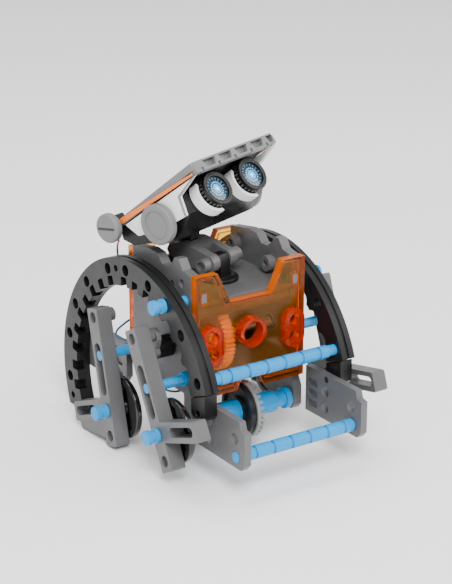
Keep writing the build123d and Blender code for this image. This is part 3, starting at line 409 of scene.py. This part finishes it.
EYE_X, EYE_Z = 9.4, -10.0
LENS_R, LENS_FACE, LENS_DOME = 4.55, -16.45, 0.35
RIB_RADII, RIB_DEPTHS, RIB_HALF_TURN = (5.5, 6.05), (-15.95, -11.7), 0.052
# Radii and depths of the two pale rings that are painted as highlights on each eye ring's front face.
HIGHLIGHT_RINGS, HIGHLIGHT_RING_DEPTHS = ((4.7, 4.88), (5.55, 5.78)), (-17.28, -17.4)
BORDER_X, BORDER_RISE = 21.5, 0.3
BORDER = [(-22.4, -4.25), (-11.4, -6.95), (-9.6, -13.4), (-8.7, -13.25), (-10.5, -6.3), (-20.6, -4.15)]
KNOB_FACE_X, KNOB_Y, KNOB_Z = 26.0, 23.2, -0.8
KNOB_SLOT_TURN, KNOB_SLOT_RISE = radians(30), 0.12
KNOB_SLOT_CORNERS = ((-3.9, -0.45), (3.9, -0.45), (3.9, 0.45), (-3.9, 0.45))
CELL_FACE = -0.32
BARS, BAR_STEP, BAR_HALF, BAR_RISE = 6, 6.2, 0.2, 0.08
FINGERS, FINGER_STEP, FINGER_HALF, FINGER_RISE = 12, 3.0, 0.06, 0.05
CELL_HALF_WIDTH, CELL_START, CELL_END = 18.8, -19.2, 17.4


def on_head(x, y, z):
    """A point across, back along and out of the panel, in the drawing's millimetres."""
    return HEAD_ORIGIN + HEAD_X * x + HEAD_Y * y + HEAD_Z * z


def on_cell(left, right, front, back):
    """The four corners of a rectangle on the solar cell's face."""
    corners = ((left, front), (right, front), (right, back), (left, back))
    return [on_head(x, y, CELL_FACE) for x, y in corners]


def prism(name, outline, rise, slot, material=None, bevel=0.05):
    """A closed prism on the head: its lower outline and the way it rises, in millimetres."""
    count = len(outline)
    points = [spot(*point) for point in outline] + [spot(*(point + rise)) for point in outline]
    sides = [(i, (i + 1) % count, count + (i + 1) % count, count + i) for i in range(count)]
    mesh = bpy.data.meshes.new(name)
    mesh.from_pydata(points, [], [tuple(range(count)), tuple(range(count, 2 * count))] + sides)
    work = bmesh.new()
    work.from_mesh(mesh)
    close_mesh(work, mesh)
    smooth_by_angle(mesh)
    piece = new_object(name, mesh)
    add_bevel(piece, bevel)
    return finish_piece(piece, "head", slot, material)


def eye_lens(name, centre, rings=6, segments=48):
    """A slightly domed disc whose UVs carry the printed rings."""
    work = bmesh.new()
    uv_layer = work.loops.layers.uv.new("print")
    points = {}
    for ring in range(1, rings + 1):
        share = ring / rings
        for step in range(segments):
            turn = 2 * pi * step / segments
            offset = (share * cos(turn), share * sin(turn))
            depth = LENS_FACE - LENS_DOME * (1 - share**2)
            place = on_head(centre + LENS_R * offset[0], depth, EYE_Z + LENS_R * offset[1])
            points[ring, step] = (work.verts.new(spot(*place)), offset)
    middle = (work.verts.new(spot(*on_head(centre, LENS_FACE - LENS_DOME, EYE_Z))), (0.0, 0.0))
    for step in range(segments):
        after = (step + 1) % segments
        faces = [[middle, points[1, step], points[1, after]]]
        for ring in range(1, rings):
            around = [(ring, step), (ring + 1, step), (ring + 1, after), (ring, after)]
            faces.append([points[place] for place in around])
        for corners in faces:
            face = work.faces.new([vert for vert, offset in corners])
            face.smooth = True
            for loop, (vert, offset) in zip(face.loops, corners):
                loop[uv_layer].uv = (0.5 + offset[0] / 2, 0.5 + offset[1] / 2)
    mesh = bpy.data.meshes.new(name)
    close_mesh(work, mesh)
    piece = finish_piece(new_object(name, mesh), "head", "eye_glow")
    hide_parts("eye_lenses")


def eye_knurl(name, centre, ribs=26, segments=52):
    """Grip ribs round an eye ring, lighter than its black as painted highlight, and two fine pale rings
    on its front face that are painted highlights.
    """
    work = bmesh.new()

    def corner(radius, turn, depth):
        place = on_head(centre + radius * cos(turn), depth, EYE_Z + radius * sin(turn))
        return work.verts.new(spot(*place))

    for number in range(ribs):
        middle = 2 * pi * (number + 0.5) / ribs
        box = [corner(radius, middle + side * RIB_HALF_TURN, depth)
               for depth in RIB_DEPTHS for radius in RIB_RADII for side in SIDES]
        for face in ((0, 1, 3, 2), (4, 5, 7, 6), (0, 1, 5, 4), (2, 3, 7, 6), (0, 2, 6, 4), (1, 3, 7, 5)):
            work.faces.new([box[index] for index in face])
    low, high = HIGHLIGHT_RING_DEPTHS
    for inner, outer in HIGHLIGHT_RINGS:
        loops = [[corner(radius, 2 * pi * step / segments, depth) for step in range(segments)]
                 for radius, depth in ((inner, low), (inner, high), (outer, high), (outer, low))]
        for near, far in zip(loops, loops[1:] + loops[:1]):
            for step in range(segments):
                after = (step + 1) % segments
                work.faces.new([near[step], near[after], far[after], far[step]]).material_index = 1
    mesh = bpy.data.meshes.new(name)
    close_mesh(work, mesh)
    smooth_by_angle(mesh)
    finish_piece(new_object(name, mesh), "head", NODE_SLOT["eye_rings"], KNURL_HIGHLIGHT_GREY)
    # Satin grey on the pale rings is painted highlight.
    mesh.materials.append(SATIN_GREY)


for side, word in zip(SIDES, SIDE_WORDS):
    eye_lens(f"eye_lens_{word}", side * EYE_X)
    eye_knurl(f"eye_knurl_{word}", side * EYE_X)
    border = [on_head(side * BORDER_X, y, z) for y, z in BORDER]
    prism(f"panel_border_{word}", border, HEAD_X * side * BORDER_RISE, "light_plastic")
    turned = [Matrix.Rotation(KNOB_SLOT_TURN, 2) @ Vector(corner) for corner in KNOB_SLOT_CORNERS]
    knob_slot = [on_head(side * KNOB_FACE_X, KNOB_Y + y, KNOB_Z + z) for y, z in turned]
    # The slot is a thin dark sheet on the knob's face: painted shade standing for the slot's hollow.
    prism(f"knob_slot_{word}", knob_slot, HEAD_X * side * KNOB_SLOT_RISE, "grey_plastic", SLOT_SHADE_GREY)

for number in range(BARS):
    x = BAR_STEP * (number - (BARS - 1) / 2)
    bar = on_cell(x - BAR_HALF, x + BAR_HALF, CELL_START, CELL_END)
    prism(f"cell_bar_{number}", bar, HEAD_Z * BAR_RISE, "steel", bevel=0.02)
for number in range(FINGERS):
    y = FINGER_STEP * number - CELL_END
    finger = on_cell(-CELL_HALF_WIDTH, CELL_HALF_WIDTH, y - FINGER_HALF, y + FINGER_HALF)
    prism(f"cell_finger_{number}", finger, HEAD_Z * FINGER_RISE, "steel", bevel=0.01)


# ---- wires --------------------------------------------------------------------------------
WIRE_DIAMETER = 0.76
RED_ROUTE = [
    (-25.4, 15.6, 71.2), (-23.6, 20.2, 68.4), (-22.4, 21.8, 62.6), (-20.6, 22.4, 56.6),
    (-18.2, 21.4, 51.2), (-16.9, 17.8, 48.0), (-16.8, 12.2, 47.4),
]
BLUE_ROUTE = [
    (-16.8, 12.2, 41.6), (-17.2, 18.0, 40.8), (-20.6, 20.6, 37.8), (-26.0, 18.8, 36.0),
    (-28.2, 13.2, 35.8), (-27.4, 6.2, 36.9), (-27.2, 0.6, 34.6), (-27.0, -3.6, 30.4),
    (-26.4, -8.4, 26.8), (-24.6, -12.8, 23.6), (-19.8, -14.8, 22.6), (-15.2, -13.2, 23.6),
    (-12.9, -11.4, 27.6),
]


def wire(node, route):
    """A thin insulated wire along the route's smooth curve."""
    curve = bpy.data.curves.new(f"{node}_strand", "CURVE")
    curve.dimensions = "3D"
    curve.bevel_depth = WIRE_DIAMETER / 2 * MM
    curve.bevel_resolution = 4
    curve.resolution_u = 12
    curve.use_fill_caps = True
    spline = curve.splines.new("NURBS")
    spline.points.add(len(route) - 1)
    for point, place in zip(spline.points, route):
        point.co = (*spot(*place), 1.0)
    spline.order_u = 3
    spline.use_endpoint_u = True
    piece = finish_piece(new_object(f"{node}_strand", curve), "chassis", node)
    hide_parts(node)


wire("red_wire", RED_ROUTE)
wire("blue_wire", BLUE_ROUTE)


# ---- floor and light ----------------------------------------------------------------------
FLOOR_REACH = 3.0
LIGHT_TARGET = Vector((0, 0, 0.05))


def area_light(name, location, size, power):
    """A square light that faces the robot, in metres and watts."""
    data = bpy.data.lights.new(name, "AREA")
    data.shape = "RECTANGLE"
    data.size = size
    data.size_y = size
    data.energy = power
    light = new_object(name, data)
    light.location = location
    light.rotation_euler = (LIGHT_TARGET - Vector(location)).to_track_quat("-Z", "Y").to_euler()


floor_mesh = bpy.data.meshes.new("floor")
floor_corners = [(x * FLOOR_REACH, y * FLOOR_REACH, 0) for x, y in ((-1, -1), (1, -1), (1, 1), (-1, 1))]
floor_mesh.from_pydata(floor_corners, [], [(0, 1, 2, 3)])
floor_material, floor_tree, floor_shader = node_material("pale_floor")
ramp(floor_tree, object_noise(floor_tree, 6.0, 2.0), 0.9, 0.92, floor_shader.inputs["Base Color"])
floor_shader.inputs["Roughness"].default_value = 0.85
floor_mesh.materials.append(floor_material)
new_object("floor", floor_mesh)

world = bpy.data.worlds.new("studio")
world.use_nodes = True
world.node_tree.nodes["Background"].inputs["Color"].default_value = (1.0, 1.0, 1.0, 1.0)
world.node_tree.nodes["Background"].inputs["Strength"].default_value = 0.95
bpy.context.scene.world = world
area_light("key", (-0.35, -0.75, 0.85), 0.45, 18.0)
area_light("fill", (0.8, -0.5, 0.5), 0.6, 4.0)
area_light("top", (0.0, 0.3, 1.0), 0.6, 6.5)
